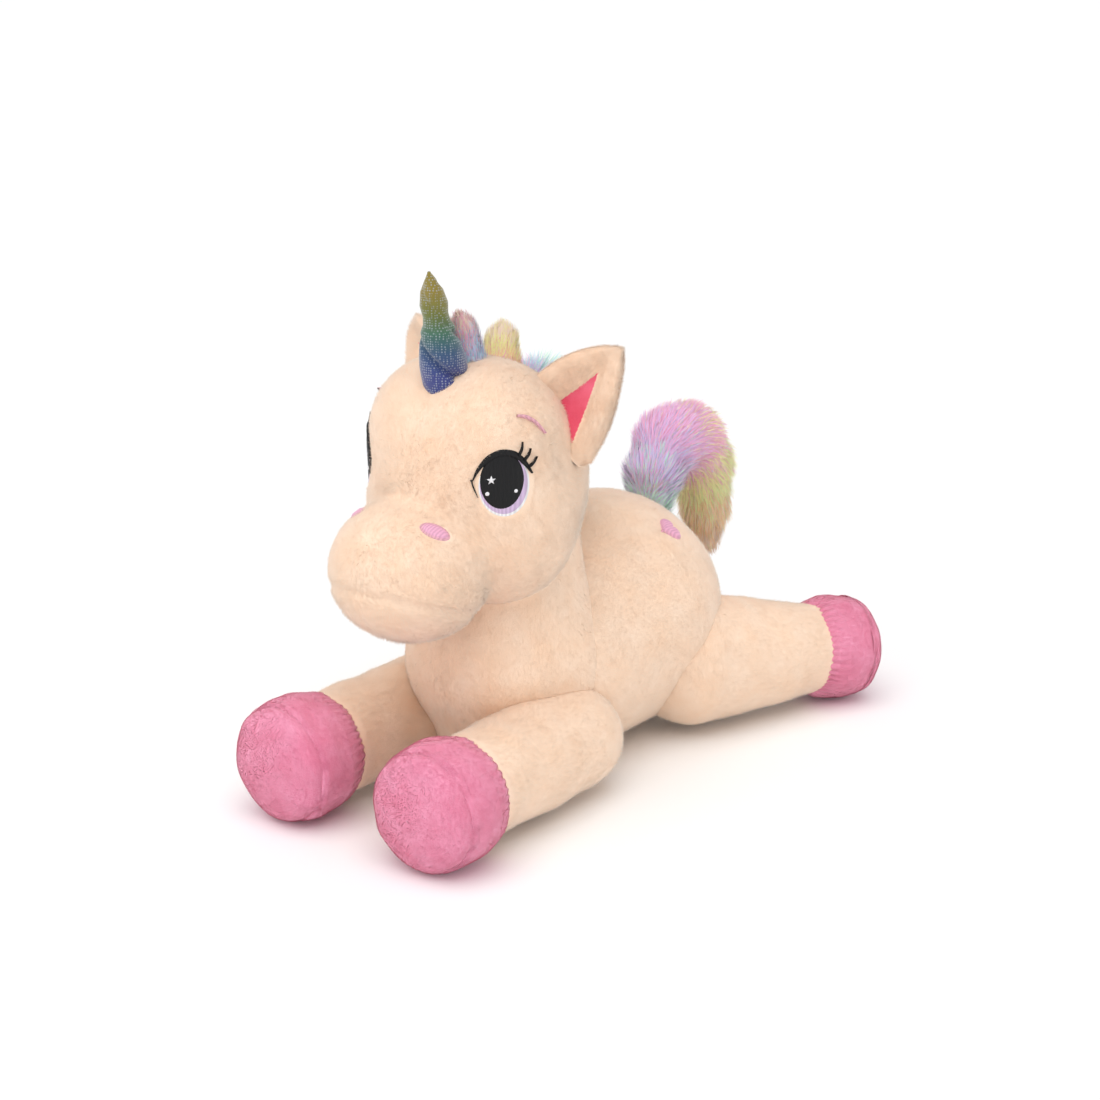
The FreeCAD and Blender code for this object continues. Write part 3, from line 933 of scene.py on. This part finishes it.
def fanned(faces):
    """The same faces with any many-sided one cut into a fan, so that pile can be scattered on it."""
    result = []
    for face in faces:
        if len(face) <= 4:
            result.append(face)
        else:
            result += [(face[0], face[step], face[step + 1]) for step in range(1, len(face) - 1)]
    return result


def make_legs(prefix, root, aim, seam_at, hoof_radius, hoof_length, field, fibres):
    """A pair of legs, each with its hoof's band and sole and the pile on them."""
    forward = unit(aim)
    leg_path = [root, root + forward * seam_at]
    leg_skin = surface(leg_path, field, cap_rows=14, rings=34, columns=72, reach=90.0)
    band_skin = hoof_shape(root, aim, seam_at, hoof_radius, hoof_length, False, 3)
    sole_skin = hoof_shape(root, aim, seam_at, hoof_radius, hoof_length, True, 4)

    def leg_shows(points):
        mirror = left_half(points)
        before_hoof = (mirror - root) @ forward < seam_at - 0.5
        return before_hoof & (trunk_field(mirror) > -6.0) & (chest_field(mirror) > -6.0)

    def nap_leg(roots, outward):
        lean = np.zeros_like(roots) + forward * np.sign(forward[1])
        lean[:, 0] *= np.sign(roots[:, 0])
        lean[:, 2] -= 0.5
        return lean

    for name, side in SIDES.items():
        body = f"{prefix}_leg_{name}"
        skin = mirrored(*leg_skin, side)
        leg = new_piece(f"{prefix}_leg_skin_{name}", *skin, [CREAM_CLOTH])
        nodes = [f"{prefix}_leg_cover_{name}", f"{prefix}_leg_stuffing_{name}"]
        placed(leg, body, *nodes, slot="cream_plush", fill=0.85)
        seed = 200 + int(side * 7) + len(prefix) * 20
        pile_name = f"{prefix}_leg_pile_{name}"
        pile = short_pile(pile_name, skin, fibres, CREAM_PILE, seed, nap_leg, leg_shows)
        placed(pile, body, slot="cream_plush")
        for part, shape, count in (("band", band_skin, 34000), ("sole", sole_skin, 22000)):
            points, faces = mirrored(*shape, side)
            hoof = new_piece(f"{prefix}_hoof_{part}_skin_{name}", points, faces, [PINK_CLOTH])
            placed(hoof, body, f"{prefix}_hoof_{part}_{name}", slot="pink_plush", fill=0.9)
            fuzz = short_pile(
                f"{prefix}_hoof_{part}_pile_{name}", (points, fanned(faces)), count, PINK_PILE,
                seed + 50 + len(part), nap_leg, length=1.7, width=0.32,
            )
            placed(fuzz, body, slot="pink_plush")


make_legs("front", SHOULDER, FRONT_AIM, FRONT_HOOF_SEAM, 46.0, 62.0, front_leg_field, 60000)
make_legs("hind", HIP, HIND_AIM, HIND_HOOF_SEAM, 43.0, 58.0, hind_leg_field, 70000)

# -------- horn


def horn_radius(height):
    stops = [0.0, 12.0, 30.0, 46.0, 55.0, 60.0, 66.0, 74.0, 84.0, 92.0, 97.0]
    radii = [16.6, 16.8, 16.4, 15.0, 12.8, 9.8, 8.8, 9.8, 8.2, 4.4, 1.2]
    return np.interp(height, stops, radii)


HORN_LEAN = math.radians(11.5)
HORN_TWIST = 0.0766  # radians of turn for each mm of height
HORN_UP = np.array([0.0, -math.sin(HORN_LEAN), math.cos(HORN_LEAN)])


def horn_skin():
    """Two lobes that wind round each other up the horn, with a groove between them."""
    right = np.array([1.0, 0.0, 0.0])
    front = np.cross(HORN_UP, right)
    rows, columns = 110, 96
    angles = np.arange(columns) * 2 * math.pi / columns
    points = []
    for height in np.linspace(-8.0, 97.5, rows):
        base = horn_radius(max(height, 0.0))
        turn = angles - 0.66 + (height - 10.0) * HORN_TWIST
        lobes = np.abs(np.sin(turn))
        groove = np.exp(-((lobes / 0.30) ** 2)) * (1.0 if height < 54.0 else 0.45)
        ring = base * (0.93 + 0.10 * lobes) - groove * base * 0.26
        circle = np.cos(angles)[:, None] * right + np.sin(angles)[:, None] * front
        points.append(HORN_ROOT + HORN_UP * height + circle * ring[:, None])
    points.append((HORN_ROOT + HORN_UP * 98.5)[None])
    faces = ring_faces(rows, columns)
    last = (rows - 1) * columns
    for column in range(columns):
        faces.append((last + column, last + (column + 1) % columns, rows * columns))
    return np.concatenate(points), faces


horn = new_piece("horn_twist", *horn_skin(), [HORN_CLOTH])
placed(horn, "horn", "horn_cover", "horn_stuffing", slot="horn_cloth", fill=0.9)

# -------- ears

EAR_OUTER = np.array([84.0, -98.0, 262.0])
EAR_TIP = np.array([97.0, -76.0, 347.0])
EAR_ALONG = EAR_OUTER - EAR_INNER
EAR_RISE = EAR_TIP - EAR_INNER
EAR_FRONT = unit(np.cross(EAR_ALONG, EAR_RISE))
EAR_HALF_THICKNESS = 8.0
EAR_BOWL = 11.0
EAR_ROUND = 0.78  # share of the ear's height where its tip starts to round off
EAR_END = 0.95  # share of the height to the corner of the cut cloth where the rounded tip ends
LINING_FRONT = -5.5  # what lies deeper than this from the ear's middle is the ear's back
LINING = np.array([(0.32, 0.03), (0.76, -0.03), (0.18, 0.62)])  # corners, as shares along and up


def ear_layer(depth_at, columns=76, rows=66, low=-0.12):
    """A sheet over the ear's outline. depth_at gives how far it stands out, by the place on the ear."""
    points = []
    for row in range(rows):
        rise = low + (EAR_END - low) * row / (rows - 1)
        taper = math.sqrt(max(0.0, 1.0 - max(0.0, (rise - EAR_ROUND) / (EAR_END - EAR_ROUND)) ** 2))
        bulge = 0.10 * math.sin(math.pi * min(max(rise, 0.0), 1.0))
        for column in range(columns):
            share = column / (columns - 1)
            width = (1.0 - max(rise, 0.0) + 2 * bulge) * taper
            along = (1.0 - max(rise, 0.0)) / 2 + (share - 0.5) * width
            edge = min(share, 1 - share) * 2
            spot = EAR_INNER + EAR_ALONG * along + EAR_RISE * rise
            points.append(spot + EAR_FRONT * depth_at(edge, share, rise))
    faces = []
    for row in range(rows - 1):
        for column in range(columns - 1):
            start = row * columns + column
            faces.append((start, start + 1, start + columns + 1, start + columns))
    return np.array(points), faces


def ear_thickness(edge, rise, steepness):
    """Half the ear's thickness, which rounds off to nothing at its edges and its tip."""
    round_edge = math.sqrt(max(0.0, 1 - (1 - min(edge * steepness, 1.0)) ** 2))
    top = math.sqrt(max(0.0, min(1.0, (EAR_END - rise) * 6)))
    return EAR_HALF_THICKNESS * round_edge * top


def ear_back(edge, share, rise):
    return -ear_thickness(edge, rise, 2.2)


def ear_face(edge, share, rise):
    bowl = math.exp(-(((share - 0.42) / 0.26) ** 2)) * math.exp(-(((rise - 0.2) / 0.38) ** 2))
    return ear_thickness(edge, rise, 3.2) - EAR_BOWL * bowl


back = ear_layer(ear_back)
face = ear_layer(ear_face)
ear_points, ear_faces = welded(*joined([(back[0], [tuple(reversed(f)) for f in back[1]]), face]))


def lining_at(points):
    """How far points on the ear lie inside the lining's edge, and in front of the ear's middle."""
    mirror = left_half(points)
    offset = mirror - EAR_INNER
    basis = np.stack([EAR_ALONG, EAR_RISE, EAR_FRONT], axis=1)
    place = offset @ np.linalg.inv(basis).T
    along, rise, depth = place[:, 0], place[:, 1], place[:, 2]
    inside_by = np.full(len(points), np.inf)
    for start, end in zip(LINING, np.roll(LINING, -1, axis=0)):
        edge = unit(end - start)
        inside_by = np.minimum(inside_by, edge[0] * (rise - start[1]) - edge[1] * (along - start[0]))
    return inside_by, depth


def off_lining(points):
    place, depth = lining_at(points)
    return (place < 0.0) | (depth < LINING_FRONT)


def on_lining(points):
    return ~off_lining(points)


def nap_ear(roots, outward):
    lean = np.zeros_like(roots) + unit(EAR_RISE) * 0.9
    lean[:, 0] *= np.sign(roots[:, 0])
    return lean


for name, side in SIDES.items():
    points, faces = mirrored(ear_points, ear_faces, side)
    spots = np.array([points[list(f)].mean(axis=0) for f in faces])
    pink = on_lining(spots)
    ear = new_piece("ear_skin_" + name, points, faces, [CREAM_CLOTH, CORAL_CLOTH], pink.astype(int))
    placed(ear, "ear_" + name, "ear_" + name, "ear_lining_" + name, slot="cream_plush", fill=0.4)
    skin = (points, faces)
    seed = 400 + int(side * 9)
    fur = short_pile("ear_pile_" + name, skin, 26000, CREAM_PILE, seed, nap_ear, off_lining, length=4.0)
    placed(fur, "ear_" + name, slot="cream_plush")
    velvet = short_pile(
        "ear_lining_pile_" + name, skin, 40000, CORAL_PILE, seed + 60, nap_ear, on_lining,
        length=1.6, width=0.3,
    )
    placed(velvet, "ear_" + name, slot="coral_plush")

# -------- mane and tail


def locks(name, roots, outward, length, width, colours, lean, seed, clump, droop=0.0, sides=None):
    """Long pile that gathers into locks of clump's size. colours gives each root's rainbow slot."""
    rng = np.random.default_rng(seed)
    lean = lean + wave_vectors(roots, clump, seed + 3) * 0.25 + rng.normal(size=roots.shape) * 0.16
    lengths = length * rng.uniform(0.65, 1.1, len(roots))
    widths = width * rng.uniform(0.7, 1.3, len(roots))
    return blades(
        name, roots, outward, lean, lengths, widths, RAINBOW_PILE, colours, segments=4, droop=droop,
        seed=seed, sides=sides,
    )


def colour_bands(place, names, rng, blur=0.5):
    """The rainbow slot for each place from 0 to 1 along a list of colours."""
    position = place * (len(names) - 1) + rng.normal(size=len(place)) * blur
    chosen = np.clip(np.round(position), 0, len(names) - 1).astype(int)
    lookup = np.array([RAINBOW_NAMES.index(colour) for colour in names])
    return lookup[chosen]


# each lock's node, the line through its middle, its two radii, and its colours from root to tip
MANE_LOCKS = [
    ("forelock", [(0, -128, 318), (0, -139, 354)], (15.0, 12.5), "sky sky lavender sky rose peach"),
    ("forelock", [(0, -100, 316), (0, -95, 338)], (20.0, 14.0), "rose rose apricot lemon lemon peach"),
    ("mane_crest", [(0, -62, 291), (0, -46, 298)], (20.0, 15.0), "lavender orchid sky mint"),
    ("mane_crest", [(0, -46, 282), (0, -30, 282)], (21.0, 16.0), "lemon lime mint apricot"),
    ("mane_crest", [(0, -38, 260), (0, -22, 254)], (20.0, 16.0), "rose orchid peach lavender"),
    ("mane_crest", [(0, -38, 238), (0, -26, 232)], (18.0, 14.0), "sky mint lemon peach"),
]
MANE_PILE = {"forelock": 10.0, "mane_crest": 19.0}
FALL = np.array([0.0, 0.45, -1.1])  # the way the crest's pile hangs down the nape
CORE_INSIDE = 3.5  # how far a lock's core lies inside the radii above


def make_mane_lock(number, node, path, radii, names):
    """One tuft of the mane: a soft core with long pile of several colours on it."""
    path = np.array(path, float)
    low, high = (radius - CORE_INSIDE for radius in radii)

    def lock_field(points):
        return limb(points, path[0], low, path[1], high)

    core = surface(path, lock_field, cap_rows=8, rings=10, columns=36, reach=40.0)
    core_piece = new_piece(f"mane_core_{number}", *core, [RAINBOW_PILE[RAINBOW_NAMES.index(names[0])]])
    placed(core_piece, "head", node, slot="rainbow_pile", fill=0.5)
    seed = 480 + number * 20
    roots, outward = scattered(*core, 5000, seed)
    rng = np.random.default_rng(seed)
    upward = unit(path[1] - path[0])
    height = (roots - path[0]) @ upward
    place = np.clip((height / np.linalg.norm(path[1] - path[0]) + 0.3) / 1.5, 0, 1)
    colours = colour_bands(place, names, rng, 0.8)
    lean = np.zeros_like(roots) + (upward * 1.5 if node == "forelock" else FALL)
    sides = unit(outward - np.outer(outward @ upward, upward) * 0.85)
    strands = locks(
        f"mane_lock_{number}", roots, outward, MANE_PILE[node], 0.6, colours, lean, seed, 14.0, sides=sides
    )
    placed(strands, "head", slot="rainbow_pile")


for number, (node, path, radii, colour_names) in enumerate(MANE_LOCKS, start=1):
    make_mane_lock(number, node, path, radii, colour_names.split())

TAIL_PATH = np.array(
    [TAIL_ROOT, (0, 103, 192), (0, 122, 216), (0, 150, 216), (0, 174, 190), (0, 182, 150), (0, 183, 126)]
)


TAIL_RADII = [12.0, 18.0, 22.0, 23.0, 21.0, 16.0, 10.0]


def tail_field(points):
    field = None
    for start, end, low, high in zip(TAIL_PATH, TAIL_PATH[1:], TAIL_RADII, TAIL_RADII[1:]):
        part = limb(points, start, low, end, high)
        field = part if field is None else blended(field, part, 5.0)
    return field


tail_core = surface(TAIL_PATH, tail_field, cap_rows=8, rings=40, columns=36, reach=45.0)
tail = new_piece("tail_core", *tail_core, [RAINBOW_PILE[RAINBOW_NAMES.index("peach")]])
placed(tail, "tail", "tail_cover", "tail_stuffing", slot="rainbow_pile", fill=0.6)
roots, outward = scattered(*tail_core, 27000, 700)
steps = np.linalg.norm(np.diff(TAIL_PATH, axis=0), axis=1)
marks = np.concatenate([[0.0], np.cumsum(steps)]) / steps.sum()
distances = np.stack([np.linalg.norm(roots - spot, axis=1) for spot in TAIL_PATH], axis=1)
closeness = 1.0 / (distances + 1.0) ** 4
along_tail = (closeness * marks).sum(axis=1) / closeness.sum(axis=1)
directions = unit(np.gradient(TAIL_PATH, axis=0))
flow = unit((closeness[:, :, None] * directions[None]).sum(axis=1))
rng = np.random.default_rng(701)
TAIL_COLOURS = ["mint", "lavender", "orchid", "rose", "lemon", "lime", "apricot", "peach"]
tail_colours = colour_bands(along_tail, TAIL_COLOURS, rng, 0.7)
tail_pile = locks("tail_pile", roots, outward, 17.0, 0.8, tail_colours, flow * 1.3, 702, 16.0, droop=0.15)
placed(tail_pile, "tail", slot="rainbow_pile")

# -------- flank marks

FLANK_AIM = unit(FLANK_SPOT - RUMP)
FLANK_TURN = math.radians(-100.0)


def heart(size, corners=40):
    outline = []
    for step in range(corners, 0, -1):
        angle = 2 * math.pi * (step - 1) / corners
        x = 16 * math.sin(angle) ** 3
        y = 13 * math.cos(angle) - 5 * math.cos(2 * angle) - 2 * math.cos(3 * angle) - math.cos(4 * angle)
        outline.append((x * size, y * size))
    return outline


for name, side in SIDES.items():
    flank = StitchFrame(RUMP, FLANK_AIM, side, trunk_field, FLANK_TURN)
    mark = new_piece("flank_heart_" + name, *stitched_shape(flank, heart(0.72), 3.4), [PINK_THREAD])
    placed(mark, "trunk", "flank_mark_" + name, slot="pink_thread")

# -------- floor, light and camera

FLOOR_HALF = 60.0  # metres
floor_mesh = bpy.data.meshes.new("floor")
floor_corners = [(x * FLOOR_HALF, y * FLOOR_HALF, 0) for x, y in ((-1, -1), (1, -1), (1, 1), (-1, 1))]
floor_mesh.from_pydata(floor_corners, [], [(0, 1, 2, 3)])
floor = bpy.data.objects.new("floor", floor_mesh)
bpy.context.scene.collection.objects.link(floor)
floor_paint, _, floor_shader = principled("floor_white")
set_inputs(floor_shader, Base_Color=(0.97, 0.97, 0.97, 1.0), Roughness=0.9)
floor_mesh.materials.append(floor_paint)

# a studio that is white round the horizon and dimmer overhead, where the sun takes over
world = bpy.data.worlds.new("studio")
world.use_nodes = True
tree = world.node_tree
background = tree.nodes["Background"]
heading = added(tree, "TexCoord")
split = added(tree, "SeparateXYZ")
fade = added(tree, "MapRange", From_Min=0.25, From_Max=0.55, To_Min=1.02, To_Max=0.45)
wire(
    tree,
    (heading, "Generated", split, "Vector"),
    (split, "Z", fade, "Value"),
    (fade, "Result", background, "Strength"),
)
background.inputs["Color"].default_value = (1.0, 1.0, 1.0, 1.0)
bpy.context.scene.world = world


def lamp(light, place, way):
    """A light at a place, in metres, that shines along a way."""
    holder = bpy.data.objects.new(light.name, light)
    holder.location = place
    holder.rotation_euler = Vector(way).to_track_quat("-Z", "Y").to_euler()
    bpy.context.scene.collection.objects.link(holder)


front_light = bpy.data.lights.new("front_light", "AREA")
front_light.size = 1.2
front_light.energy = 4.0
lamp(front_light, (-0.6, -2.0, 1.0), (0.6, 1.95, -0.85))
overhead = bpy.data.lights.new("overhead", "SUN")
overhead.angle = math.radians(60.0)
overhead.energy = 1.75
lamp(overhead, (0.0, 0.0, 2.0), (-0.15, 0.3, -1.0))

TARGET = Vector((0.060, -0.115, 0.196))
AZIMUTH = math.radians(37.5)
ELEVATION = math.radians(18.0)
DISTANCE = 1.5
look = Vector(
    (
        -math.sin(AZIMUTH) * math.cos(ELEVATION),
        math.cos(AZIMUTH) * math.cos(ELEVATION),
        -math.sin(ELEVATION),
    )
)
camera_data = bpy.data.cameras.new("camera")
camera_data.lens = 67.5
camera_data.sensor_width = 36.0
camera = bpy.data.objects.new("camera", camera_data)
camera.location = TARGET - look * DISTANCE
camera.rotation_euler = look.to_track_quat("-Z", "Y").to_euler()
bpy.context.scene.collection.objects.link(camera)
bpy.context.scene.camera = camera
bpy.context.scene.view_settings.view_transform = "Standard"
